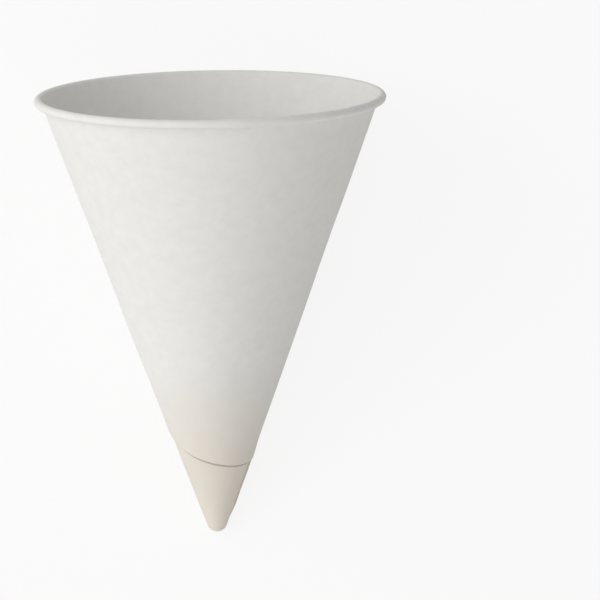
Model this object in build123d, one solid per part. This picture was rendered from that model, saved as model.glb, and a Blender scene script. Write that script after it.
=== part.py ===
from build123d import *
import os
from math import acos, asin, atan2, cos, degrees, hypot, radians, sin

# Cone paper cup: one fan-shaped paper blank wound into a cone, glued along a spiral lap,
# pinched to a blunt nose at the tip and rolled outwards at the mouth. Millimetres.
#
# The cup is drawn upright first (nose at the origin, +Z towards the mouth), then laid on its side
# as it comes to rest: the roll and the nose touch Z = 0, the nose points to -Y, the mouth to +Y.
# Azimuths run round the upright cup from its face (-Y, uppermost once it lies) towards +X.

# Overall sizes
mouth_diameter = 73.0       # over the rolled rim
cup_height = 92.0           # nose to the top of the rolled rim

# Paper
paper = 0.25                # one ply
nose_radius = 2.15          # outside of the pinched tip
nose_thickness = 1.2        # pinched paper between the nose and the hollow

# Rolled rim
roll_diameter = 1.8         # outside of the roll
roll_turn = 285.0           # degrees the paper runs round the roll, from the wall to its cut edge

# Outer cut edge of the blank: a slightly bowed cut, so it spirals up the cone
outer_cut_distance = 20.5   # from the cone's true point to the nearest spot of the cut
outer_cut_azimuth = 44.0    # of that nearest spot
outer_cut_bow = 350.0       # radius of the bow on the flat blank
corner_azimuth = 97.0       # where the cut ends in the blank's corner, near the tip

# Inner cut edge, hidden below the outer ply: the other side of the glued lap
inner_cut_distance = 24.5   # from the cone's true point
inner_cut_bow = 4000.0      # radius of its bow: nearly straight
lap_at_rim = 24.0           # degrees of double paper at the mouth
lap_settle = 0.6            # the outer ply settles onto the wall over this length

# Where the soft paper gives under its own weight as the cup lies
rest_flat = 0.1             # height that the roll and the nose are flattened by

# Where the lap's sections are taken
lap_step = 9.0              # degrees between two sections
lap_first_height = 1.0      # height of the first section, at the rim

# ---- Directions and places that follow from the sizes (upright cup, radius and height) ----

roll_outer = roll_diameter / 2
roll_inner = roll_outer - paper
roll_radius = mouth_diameter / 2 - roll_outer       # of the circle that the roll's centre follows
roll_height = cup_height - roll_outer

# The wall's outside is tangent to the nose, and passes the roll's centre at the roll's inner radius.
rise = roll_height - nose_radius
reach = hypot(roll_radius, rise)
half_angle = atan2(roll_radius, rise) - asin((nose_radius + roll_inner) / reach)

true_point = nose_radius - nose_radius / sin(half_angle)    # height of the cone's true point
rim_slant = roll_radius * sin(half_angle) + (roll_height - true_point) * cos(half_angle)


def on_wall(slant, stand):
    """Radius and height of a point: its distance up the wall, and how far it stands outside it."""
    radius = slant * sin(half_angle) + stand * cos(half_angle)
    height = true_point + slant * cos(half_angle) - stand * sin(half_angle)
    return radius, height


def around(radius, height, azimuth):
    """A point of the upright cup at an azimuth in degrees."""
    return Vector(radius * sin(radians(azimuth)), -radius * cos(radians(azimuth)), height)


def on_roll(radius, turn):
    """A point of the roll: its distance from the roll's centre, and degrees run from the wall."""
    side = -radius * cos(radians(turn))
    up = radius * sin(radians(turn))
    return (
        roll_radius + side * cos(half_angle) + up * sin(half_angle),
        roll_height - side * sin(half_angle) + up * cos(half_angle),
    )


# ---- Wall, nose and rolled rim: one section turned about the axis ----

def on_ball(radius, centre_height, angle):
    """A point of a ball centred on the axis, its angle counted from straight below the centre."""
    return radius * sin(angle), centre_height - radius * cos(angle)


def cup_section():
    """Half section of the single-ply cup, from the axis to the roll's cut edge."""
    ball_angle = radians(90) - half_angle           # from the axis round to where the wall starts
    floor_radius = ((nose_thickness - true_point) * sin(half_angle) - paper) / (1 - sin(half_angle))
    floor_centre = nose_thickness + floor_radius
    nose_bottom = (0, 0)
    nose_middle = on_ball(nose_radius, nose_radius, ball_angle / 2)
    nose_end = on_ball(nose_radius, nose_radius, ball_angle)
    floor_bottom = (0, nose_thickness)
    floor_middle = on_ball(floor_radius, floor_centre, ball_angle / 2)
    floor_end = on_ball(floor_radius, floor_centre, ball_angle)
    roll_inside = [on_roll(roll_inner, turn) for turn in (0, roll_turn / 2, roll_turn)]
    roll_outside = [on_roll(roll_outer, turn) for turn in (roll_turn, roll_turn / 2, 0)]
    edges = [
        ThreePointArc(nose_bottom, nose_middle, nose_end),
        Line(nose_end, roll_inside[0]),
        ThreePointArc(*roll_inside),
        Line(roll_inside[-1], roll_outside[0]),
        ThreePointArc(*roll_outside),
        Line(roll_outside[-1], floor_end),
        ThreePointArc(floor_end, floor_middle, floor_bottom),
        Line(floor_bottom, nose_bottom),
    ]
    return Plane.XZ * make_face(Curve() + edges)


# ---- Glued lap: the outer ply where it lies over the wound wall ----

def bowed_cut(distance, bow, nearest_azimuth, azimuth):
    """Slant distance of a bowed cut of the flat blank, once the blank is wound."""
    flat_angle = radians(azimuth - nearest_azimuth) * sin(half_angle)
    back = (bow - distance) * cos(flat_angle)
    return hypot(back, (2 * bow * distance - distance**2) ** 0.5) - back


def cut_span(distance, bow, slant):
    """Degrees of azimuth from a cut's nearest spot to where it reaches a slant distance."""
    across = (2 * bow * distance - distance**2 - slant**2) / (2 * slant * (bow - distance))
    return degrees(acos(across) / sin(half_angle))


def lap_section(lower, upper, azimuth):
    """One ply's thickness on the wall, sunk half a ply into it, feathered at its upper end."""
    corners = [
        on_wall(lower, -paper / 2),
        on_wall(lower, paper),
        on_wall(upper - lap_settle, paper),
        on_wall(upper, -paper / 2),
    ]
    return Wire.make_polygon([around(r, z, azimuth) for r, z in corners], close=True)


def lap_solid(first, last, upper_at):
    """The lap between two azimuths, its lower side along the outer cut."""
    count = max(3, round(abs(last - first) / lap_step))
    wires = []
    for index in range(count + 1):
        azimuth = first + (last - first) * index / count
        lower = bowed_cut(outer_cut_distance, outer_cut_bow, outer_cut_azimuth, azimuth)
        wires.append(lap_section(lower, upper_at(azimuth), azimuth))
    return Solid.make_loft(wires)


# The outer cut leaves the rim behind the cup; the inner cut leaves it lap_at_rim further on.
outer_cut_at_rim = outer_cut_azimuth - cut_span(outer_cut_distance, outer_cut_bow, rim_slant)
lap_first_slant = rim_slant - lap_first_height
lap_start = outer_cut_azimuth - cut_span(outer_cut_distance, outer_cut_bow, lap_first_slant)
inner_cut_at_rim = outer_cut_at_rim + lap_at_rim
inner_cut_azimuth = inner_cut_at_rim + cut_span(inner_cut_distance, inner_cut_bow, rim_slant)


def inner_cut(azimuth):
    return bowed_cut(inner_cut_distance, inner_cut_bow, inner_cut_azimuth, azimuth)


cup = revolve(cup_section(), Axis.Z)
cup += lap_solid(lap_start, inner_cut_at_rim, lambda azimuth: rim_slant)
cup += lap_solid(inner_cut_at_rim, corner_azimuth, inner_cut)

# ---- Lay the cup down: its roll and its nose rest on the ground, each on a small flat ----

lie_angle = atan2(roll_radius, rise) - asin((nose_radius - roll_outer) / reach)
lean = -(90 - degrees(lie_angle))                   # turn about X, from upright
nose_centre = Pos(0, 0, nose_radius).position.rotate(Axis.X, lean)
roll_bottom_centre = around(roll_radius, roll_height, 180).rotate(Axis.X, lean)

cup = Rot(lean, 0, 0) * cup
cup = Pos(0, 0, roll_outer - roll_bottom_centre.Z - rest_flat) * cup
cup = split(cup, bisect_by=Plane.XY, keep=Keep.TOP)

# The row's origin is on the ground below the middle of the cup's length.
box = cup.bounding_box()
cup = Pos(0, -(box.min.Y + box.max.Y) / 2, 0) * cup

os.makedirs("parts", exist_ok=True)
export_step(cup, "parts/cone_cup.step")

print("half angle", round(degrees(half_angle), 3), "lying angle", round(degrees(lie_angle), 3))
print("outer cut at rim", round(outer_cut_at_rim, 2), "inner cut at rim", round(inner_cut_at_rim, 2))
print("nose below roll", round(roll_bottom_centre.Z - roll_outer - nose_centre.Z + nose_radius, 4))
print("solids", len(cup.solids()), "volume", round(cup.volume, 1), "box", cup.bounding_box())
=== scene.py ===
import bpy
from math import acos, asin, atan2, cos, hypot, pi, radians, sin, tan
from mathutils import Matrix, Vector, noise


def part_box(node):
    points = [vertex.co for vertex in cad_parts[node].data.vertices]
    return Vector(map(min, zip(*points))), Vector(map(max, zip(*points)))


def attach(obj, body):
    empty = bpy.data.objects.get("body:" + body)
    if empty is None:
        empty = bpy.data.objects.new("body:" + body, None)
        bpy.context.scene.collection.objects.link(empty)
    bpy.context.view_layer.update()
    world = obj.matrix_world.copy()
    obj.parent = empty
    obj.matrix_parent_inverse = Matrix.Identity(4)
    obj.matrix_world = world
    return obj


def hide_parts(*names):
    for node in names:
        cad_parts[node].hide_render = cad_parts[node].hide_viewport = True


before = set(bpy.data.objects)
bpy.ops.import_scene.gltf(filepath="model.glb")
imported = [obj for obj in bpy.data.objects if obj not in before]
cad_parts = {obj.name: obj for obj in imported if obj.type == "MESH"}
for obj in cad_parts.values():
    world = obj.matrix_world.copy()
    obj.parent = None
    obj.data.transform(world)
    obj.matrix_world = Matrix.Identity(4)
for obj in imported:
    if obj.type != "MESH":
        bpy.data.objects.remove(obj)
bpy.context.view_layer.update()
bpy.ops.object.select_all(action="DESELECT")

# ---- The wound paper cup ----
# One fan of white paper, wound into a cone on a mandrel, glued along its spiral lap, pinched to a
# blunt nose at the tip and rolled outwards at the mouth. It lies on its roll and its nose.

# The cup's box gives its width at the mouth and the ground that it lies on.
low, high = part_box("cone_cup")
PAPER = 0.00025
NOSE = 0.00215                      # radius of the rounded nose
ROLL = 0.0009                       # radius of the rolled rim
ROLL_TURN = radians(300)
MOUTH = (high[0] - low[0]) / 2
CUP_HEIGHT = 0.092
HOLLOW_FLOOR = 0.0012               # height of the hollow's lowest point over the nose's
REST_FLAT = 0.0001                  # the soft roll and nose give this much where they rest

roll_inner = ROLL - PAPER
roll_radius = MOUTH - ROLL
roll_height = CUP_HEIGHT - ROLL
rise = roll_height - NOSE
reach = hypot(roll_radius, rise)
half_angle = atan2(roll_radius, rise) - asin((NOSE + roll_inner) / reach)
lie_angle = atan2(roll_radius, rise) - asin((NOSE - ROLL) / reach)
true_point = NOSE - NOSE / sin(half_angle)
rim_slant = roll_radius * sin(half_angle) + (roll_height - true_point) * cos(half_angle)
nose_slant = NOSE / tan(half_angle)

# From the upright cup to the way it lies in the frame.
lay = Matrix.Rotation(lie_angle - pi / 2, 4, "X")
nose_at = lay @ Vector((0, 0, NOSE))
lay = Matrix.Translation((0, low[1] + NOSE - nose_at.y, low[2] + NOSE - REST_FLAT - nose_at.z)) @ lay


def on_wall(slant, stand):
    """Radius and height of a place on the cone, so far from its true point and off its outside."""
    return (slant * sin(half_angle) + stand * cos(half_angle),
            true_point + slant * cos(half_angle) - stand * sin(half_angle))


def on_roll(radius, turn):
    """Radius and height of a place round the middle of the roll, turned on from the wall."""
    side, up = -radius * cos(turn), radius * sin(turn)
    return (roll_radius + side * cos(half_angle) + up * sin(half_angle),
            roll_height - side * sin(half_angle) + up * cos(half_angle))


def around(radius, height, azimuth):
    """A place in the frame: flattened where the paper would go through the ground."""
    place = lay @ Vector((radius * sin(azimuth), -radius * cos(azimuth), height))
    place.z = max(place.z, low[2])
    return place


def smooth(none, full, value):
    """From 0 at none to 1 at full, with soft ends."""
    t = min(1.0, max(0.0, (value - none) / (full - none)))
    return t * t * (3 - 2 * t)


# Wound paper is never quite a true cone: it has broad waves, and small ones on top of them.
WAVES_PER_METRE = 30
BROAD_WAVE, BROAD_SCALE = 0.00010, 1.6
SMALL_WAVE, SMALL_SCALE = 0.00003, 6


def unevenness(slant, azimuth):
    """How far the paper stands off a true cone."""
    spot = Vector((sin(azimuth), cos(azimuth), slant * WAVES_PER_METRE))
    return BROAD_WAVE * noise.noise(spot * BROAD_SCALE) + SMALL_WAVE * noise.noise(spot * SMALL_SCALE)


def add_grid(name, columns, rows):
    """A flat grid, whose columns go round the cup and whose rows follow its section."""
    bpy.ops.mesh.primitive_grid_add(x_subdivisions=columns, y_subdivisions=rows, size=2)
    made = bpy.context.object
    made.name = name
    return made


def close_seams():
    """Merges the seams and poles of the active piece and turns its faces outwards."""
    bpy.ops.object.mode_set(mode="EDIT")
    bpy.ops.mesh.select_all(action="SELECT")
    bpy.ops.mesh.remove_doubles(threshold=0.000002)
    bpy.ops.mesh.normals_make_consistent(inside=False)
    bpy.ops.object.mode_set(mode="OBJECT")


# Uncoated white paper: cloudy where it is thicker and thinner, with a fine relief of fibres. Towards
# the tip, where more plies lie on each other, it is painted warmer and darker: painted shade for the
# light coming through them.
TIP_SHADE_NONE, TIP_SHADE_FULL = low[1] + 0.031, low[1] + 0.012

paper = bpy.data.materials.new("white cup paper")
paper.use_nodes = True
nodes, links = paper.node_tree.nodes, paper.node_tree.links
shader = nodes["Principled BSDF"]
shader.inputs["Roughness"].default_value = 0.8
shader.inputs["Specular IOR Level"].default_value = 0.25
coordinates = nodes.new("ShaderNodeTexCoord")
clouds = nodes.new("ShaderNodeTexNoise")
clouds.inputs["Scale"].default_value = 420
clouds.inputs["Detail"].default_value = 4
clouds.inputs["Roughness"].default_value = 0.55
links.new(coordinates.outputs["Object"], clouds.inputs["Vector"])
tone = nodes.new("ShaderNodeValToRGB")
tone.color_ramp.elements[0].position = 0.3
tone.color_ramp.elements[0].color = (0.86, 0.85, 0.815, 1)
tone.color_ramp.elements[1].position = 0.7
tone.color_ramp.elements[1].color = (0.895, 0.888, 0.86, 1)
links.new(clouds.outputs["Fac"], tone.inputs["Fac"])
split = nodes.new("ShaderNodeSeparateXYZ")
links.new(coordinates.outputs["Object"], split.inputs[0])
towards_tip = nodes.new("ShaderNodeMapRange")
towards_tip.inputs["From Min"].default_value = TIP_SHADE_NONE
towards_tip.inputs["From Max"].default_value = TIP_SHADE_FULL
links.new(split.outputs["Y"], towards_tip.inputs["Value"])
# The tip's painted shade: the paper's tone is mixed towards a darker, warmer beige near the nose.
tip_shade = nodes.new("ShaderNodeMix")
tip_shade.data_type = "RGBA"
tip_shade.inputs["B"].default_value = (0.83, 0.77, 0.68, 1)
links.new(towards_tip.outputs[0], tip_shade.inputs["Factor"])
links.new(tone.outputs["Color"], tip_shade.inputs["A"])
links.new(tip_shade.outputs["Result"], shader.inputs["Base Color"])
fibres = nodes.new("ShaderNodeTexNoise")
fibres.inputs["Scale"].default_value = 3500
fibres.inputs["Detail"].default_value = 3
links.new(coordinates.outputs["Object"], fibres.inputs["Vector"])
relief = nodes.new("ShaderNodeBump")
relief.inputs["Strength"].default_value = 0.25
relief.inputs["Distance"].default_value = 0.00003
links.new(fibres.outputs["Fac"], relief.inputs["Height"])
links.new(relief.outputs["Normal"], shader.inputs["Normal"])

# The ply's cut edge is painted grey-brown, darker than the paper's faces: a painted shadow line for
# the gap under the ply's edge.
edge_shadow_paint = bpy.data.materials.new("cut edge painted shadow")
edge_shadow_paint.use_nodes = True
nodes, links = edge_shadow_paint.node_tree.nodes, edge_shadow_paint.node_tree.links
shader = nodes["Principled BSDF"]
shader.inputs["Roughness"].default_value = 0.9
shader.inputs["Specular IOR Level"].default_value = 0.2
coordinates = nodes.new("ShaderNodeTexCoord")
grain = nodes.new("ShaderNodeTexNoise")
grain.inputs["Scale"].default_value = 2500
links.new(coordinates.outputs["Object"], grain.inputs["Vector"])
tone = nodes.new("ShaderNodeValToRGB")
tone.color_ramp.elements[0].color = (0.46, 0.41, 0.35, 1)
tone.color_ramp.elements[1].color = (0.58, 0.53, 0.47, 1)
links.new(grain.outputs["Fac"], tone.inputs["Fac"])
links.new(tone.outputs["Color"], shader.inputs["Base Color"])

# The body's section: up the outside from the nose, round the roll and back inside it, and down the
# inside to the hollow's floor. Each place has its radius, its height and how far up the slant it is.
WALL_ROWS, ROLL_ROWS, NOSE_ROWS = 70, 26, 10
nose_turn = pi / 2 - half_angle
section = []
for i in range(NOSE_ROWS):
    turn = nose_turn * i / NOSE_ROWS
    section.append((NOSE * sin(turn), NOSE - NOSE * cos(turn), nose_slant * i / NOSE_ROWS))
for i in range(WALL_ROWS + 1):
    slant = nose_slant + (rim_slant - nose_slant) * i / WALL_ROWS
    section.append((*on_wall(slant, 0), slant))
for i in range(1, ROLL_ROWS + 1):
    section.append((*on_roll(roll_inner, ROLL_TURN * i / ROLL_ROWS), rim_slant))
for i in range(ROLL_ROWS, -1, -1):
    section.append((*on_roll(ROLL, ROLL_TURN * i / ROLL_ROWS), rim_slant))
floor_radius = ((HOLLOW_FLOOR - true_point) * sin(half_angle) - PAPER) / (1 - sin(half_angle))
floor_centre = HOLLOW_FLOOR + floor_radius
floor_slant = (floor_centre - true_point) * cos(half_angle)
for i in range(1, WALL_ROWS + 1):
    slant = rim_slant + (floor_slant - rim_slant) * i / WALL_ROWS
    section.append((*on_wall(slant, -PAPER), slant))
for i in range(NOSE_ROWS - 1, -1, -1):
    turn = nose_turn * i / NOSE_ROWS
    section.append((floor_radius * sin(turn), floor_centre - floor_radius * cos(turn), 0))

# The section is turned about the axis. The nose is stiff and true, and the waves begin above it.
COLUMNS = 220
TRUE_UP_TO, WAVY_FROM = 0.004, 0.02
LAP_BUMP = 0.00016                  # the roll is a little thicker where it takes in the lap
LAP_BUMP_AT, LAP_BUMP_HALF = radians(9), radians(9)
CRIMP = 0.00016                     # depth of the fold pressed across the nose
CRIMP_ROW = 8                       # of the NOSE_ROWS, counted from the tip
CRIMP_NONE, CRIMP_FULL = radians(85), radians(50)

body = add_grid("cup_paper", COLUMNS, len(section) - 1)
body.data.materials.append(paper)
for v in body.data.vertices:
    azimuth = v.co.x * pi
    row = round((v.co.y + 1) / 2 * (len(section) - 1))
    radius, height, slant = section[row]
    stand = unevenness(slant, azimuth) * smooth(TRUE_UP_TO, WAVY_FROM, slant)
    if slant == rim_slant:
        bump = LAP_BUMP * smooth(LAP_BUMP_HALF, 0, abs(azimuth - LAP_BUMP_AT))
        off_radius, off_height = radius - roll_radius, height - roll_height
        grow = bump / hypot(off_radius, off_height)
        radius, height = radius + off_radius * grow, height + off_height * grow
    if row == CRIMP_ROW:
        radius -= CRIMP * smooth(CRIMP_NONE, CRIMP_FULL, abs(azimuth))
    v.co = around(radius + stand * cos(half_angle), height - stand * sin(half_angle), azimuth)
close_seams()

# The outer ply: its cut edge spirals from the rim behind the cup round to a corner near the tip.
# The cut is slightly bowed in the flat sheet, and nearest to the true point at CUT_AZIMUTH.
CUT = 0.0205
CUT_AZIMUTH = radians(44)
CUT_BOW = 0.35
CUT_SLOPE = 0.00060                 # the knife leaves the cut edge sloping down to the wall
CORNER = radians(97)
CORNER_TURN = radians(2)            # past the corner, the sheet's other cut runs down in this turn
PRESSED_IN, PRESSED_FROM = 0.0075, 0.011  # lower down, the ply is pressed into the nose
SINK_TURN = radians(40)             # the ply's far end slides under its start in this turn
SINK = 1.2                          # in papers, so that it ends inside the wall
TIGHT = 0.00012                     # the plies lie this much closer away from the cut edge
LOOSE_EDGE, TIGHT_FROM = 0.012, 0.05
EDGE_LIFT, EDGE_LIFT_WIDTH = 0.00008, 0.004
CORNER_LIFT, CORNER_LIFT_WIDTH = 0.00016, 0.006
CORNER_LIFT_FROM, CORNER_LIFT_PAST = radians(55), radians(6)
FOOT = 0.00001                      # the foot of the cut edge stays just over the wall
BELOW_ROLL = 0.0004
SEAM = radians(1)
PLY_COLUMNS, PLY_ROWS = 420, 60
ROW_CROWDING = 1.4                  # the rows lie closer together near the cut edge
SHEET = 0.7                         # of the paper's thickness, for the ply's own two faces


def cut_slant(azimuth):
    """How far from the true point the cut crosses the cone."""
    flat = (azimuth - CUT_AZIMUTH) * sin(half_angle)
    back = (CUT_BOW - CUT) * cos(flat)
    return hypot(back, (2 * CUT_BOW * CUT - CUT ** 2) ** 0.5) - back


top_slant = rim_slant - BELOW_ROLL
rim_turn = acos((2 * CUT_BOW * CUT - CUT ** 2 - top_slant ** 2) / (2 * top_slant * (CUT_BOW - CUT)))
ply_start = CUT_AZIMUTH - rim_turn / sin(half_angle)
ply_end = ply_start + 2 * pi - SEAM
corner_column = (CORNER - ply_start) / (ply_end - ply_start) * PLY_COLUMNS

ply = add_grid("outer_ply", PLY_COLUMNS, PLY_ROWS)
ply.data.materials.append(paper)
ply.data.materials.append(edge_shadow_paint)
grid_place = {}
for v in ply.data.vertices:
    row = round((v.co.y + 1) / 2 * PLY_ROWS)
    grid_place[v.index] = (row, (v.co.x + 1) / 2 * PLY_COLUMNS)
    azimuth = ply_start + (ply_end - ply_start) * (v.co.x + 1) / 2
    lower = min(cut_slant(azimuth), top_slant)
    lower += (PRESSED_IN - lower) * smooth(CORNER, CORNER + CORNER_TURN, azimuth)
    slant = lower + (top_slant - lower) * (max(0, row - 1) / (PLY_ROWS - 1)) ** ROW_CROWDING
    from_edge = slant - lower
    sink = smooth(ply_end - SINK_TURN, ply_end, azimuth)
    by_corner = smooth(CORNER_LIFT_FROM, CORNER, azimuth)
    by_corner *= 1 - smooth(CORNER, CORNER + CORNER_LIFT_PAST, azimuth)
    stand = PAPER * (1 - SINK * sink) - TIGHT * smooth(LOOSE_EDGE, TIGHT_FROM, from_edge)
    stand += CORNER_LIFT * by_corner * smooth(CORNER_LIFT_WIDTH, 0, from_edge)
    stand -= PAPER * SINK * smooth(PRESSED_FROM, PRESSED_IN, slant)
    stand += EDGE_LIFT * smooth(EDGE_LIFT_WIDTH, 0, from_edge) * (1 - sink)
    stand += unevenness(slant, azimuth)
    if row == 0:
        slant, stand = slant - CUT_SLOPE, unevenness(slant, azimuth) + FOOT
    v.co = around(*on_wall(slant, stand), azimuth)
# The sloping strip along the cut edge, as far as the corner, takes the painted shadow line.
for face in ply.data.polygons:
    rows = [grid_place[i][0] for i in face.vertices]
    columns = [grid_place[i][1] for i in face.vertices]
    if max(rows) == 1 and max(columns) < corner_column:
        face.material_index = 1
bpy.ops.object.modifier_add(type="SOLIDIFY")
ply.modifiers["Solidify"].thickness = PAPER * SHEET
# The ply's thin side faces take the painted shadow colour too.
ply.modifiers["Solidify"].material_offset_rim = 1
ply.modifiers["Solidify"].offset = -1
bpy.ops.object.modifier_apply(modifier="Solidify")
close_seams()

# The ply and the wall are the same sheet of paper, so they are one piece.
body.select_set(True)
bpy.context.view_layer.objects.active = body
bpy.ops.object.join()
bpy.ops.object.shade_smooth_by_angle(angle=radians(40))

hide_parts("cone_cup")
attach(body, "root")

# ---- Floor ----
# A plain white floor, which keeps the cup's soft shadow and looks nearly white to the camera.
FLOOR_WIDTH = 6
OWN_WHITE = 0.85                    # share of plain white in what the camera sees of the floor

bpy.ops.mesh.primitive_plane_add(size=FLOOR_WIDTH, location=(0, 0, low[2]))
floor = bpy.context.object
floor.name = "floor"
ground = bpy.data.materials.new("white floor")
ground.use_nodes = True
nodes, links = ground.node_tree.nodes, ground.node_tree.links
matt = nodes["Principled BSDF"]
matt.inputs["Base Color"].default_value = (0.9, 0.9, 0.9, 1)
matt.inputs["Roughness"].default_value = 0.9
glow = nodes.new("ShaderNodeEmission")
glow.inputs["Color"].default_value = (1, 1, 1, 1)
seen = nodes.new("ShaderNodeLightPath")
share = nodes.new("ShaderNodeMath")
share.operation = "MULTIPLY"
share.inputs[1].default_value = OWN_WHITE
links.new(seen.outputs["Is Camera Ray"], share.inputs[0])
blend = nodes.new("ShaderNodeMixShader")
links.new(share.outputs[0], blend.inputs["Fac"])
links.new(matt.outputs[0], blend.inputs[1])
links.new(glow.outputs[0], blend.inputs[2])
links.new(blend.outputs[0], nodes["Material Output"].inputs["Surface"])
floor.data.materials.append(ground)

# ---- Light ----
# Even light from all round, a little stronger from the left and from the nose's side, and one big
# soft box on the left.
EVEN_LIGHT = 0.62
CHANGE_ACROSS, CHANGE_ALONG = -0.30, -0.24
BOX_PLACE, BOX_AIM = Vector((-0.45, 0.1, 0.5)), Vector((0, 0, 0.03))
BOX_WIDTH, BOX_WATTS = 0.5, 1.1

world = bpy.context.scene.world or bpy.data.worlds.new("soft light")
bpy.context.scene.world = world
world.use_nodes = True
nodes, links = world.node_tree.nodes, world.node_tree.links
sky = nodes["Background"]
sky.inputs["Color"].default_value = (1, 1, 1, 1)
way = nodes.new("ShaderNodeTexCoord")
split = nodes.new("ShaderNodeSeparateXYZ")
links.new(way.outputs["Generated"], split.inputs[0])
across = nodes.new("ShaderNodeMath")
across.operation = "MULTIPLY_ADD"
across.inputs[1].default_value = CHANGE_ACROSS
across.inputs[2].default_value = EVEN_LIGHT
links.new(split.outputs["X"], across.inputs[0])
along = nodes.new("ShaderNodeMath")
along.operation = "MULTIPLY_ADD"
along.inputs[1].default_value = CHANGE_ALONG
links.new(split.outputs["Y"], along.inputs[0])
links.new(across.outputs[0], along.inputs[2])
links.new(along.outputs[0], sky.inputs["Strength"])

bpy.ops.object.light_add(type="AREA", location=BOX_PLACE)
lamp = bpy.context.object
lamp.name = "soft box"
lamp.data.size = BOX_WIDTH
lamp.data.energy = BOX_WATTS
lamp.rotation_euler = (BOX_AIM - lamp.location).to_track_quat("-Z", "Y").to_euler()

# ---- Camera ----
# It looks down on the cup from just above the plane of its mouth.
ABOVE_MOUTH = radians(9.5)
CAMERA_ROLL = radians(-0.9)
DISTANCE = 2.0
VIEW_WIDTH = 0.1242                 # what the camera takes in at that distance
AIM_RIGHT, AIM_BELOW_MOUTH = 0.0180, 0.0419

axis = Vector((0, cos(lie_angle), sin(lie_angle)))
uppermost = Vector((0, -sin(lie_angle), cos(lie_angle)))
towards = uppermost * cos(ABOVE_MOUTH) + axis * sin(ABOVE_MOUTH)
upwards = axis * cos(ABOVE_MOUTH) - uppermost * sin(ABOVE_MOUTH)
mouth_centre = lay @ Vector((0, 0, roll_height))
aim = mouth_centre + Vector((AIM_RIGHT, 0, 0)) - upwards * AIM_BELOW_MOUTH
bpy.ops.object.camera_add(location=aim + towards * DISTANCE)
camera = bpy.context.object
turned = Matrix((Vector((1, 0, 0)), upwards, towards)).transposed().to_4x4()
turned = Matrix.Rotation(CAMERA_ROLL, 4, towards) @ turned
camera.rotation_euler = turned.to_euler()
camera.data.lens = camera.data.sensor_width * DISTANCE / VIEW_WIDTH
camera.data.clip_end = 20
bpy.context.scene.camera = camera

bpy.context.scene.view_settings.view_transform = "Standard"
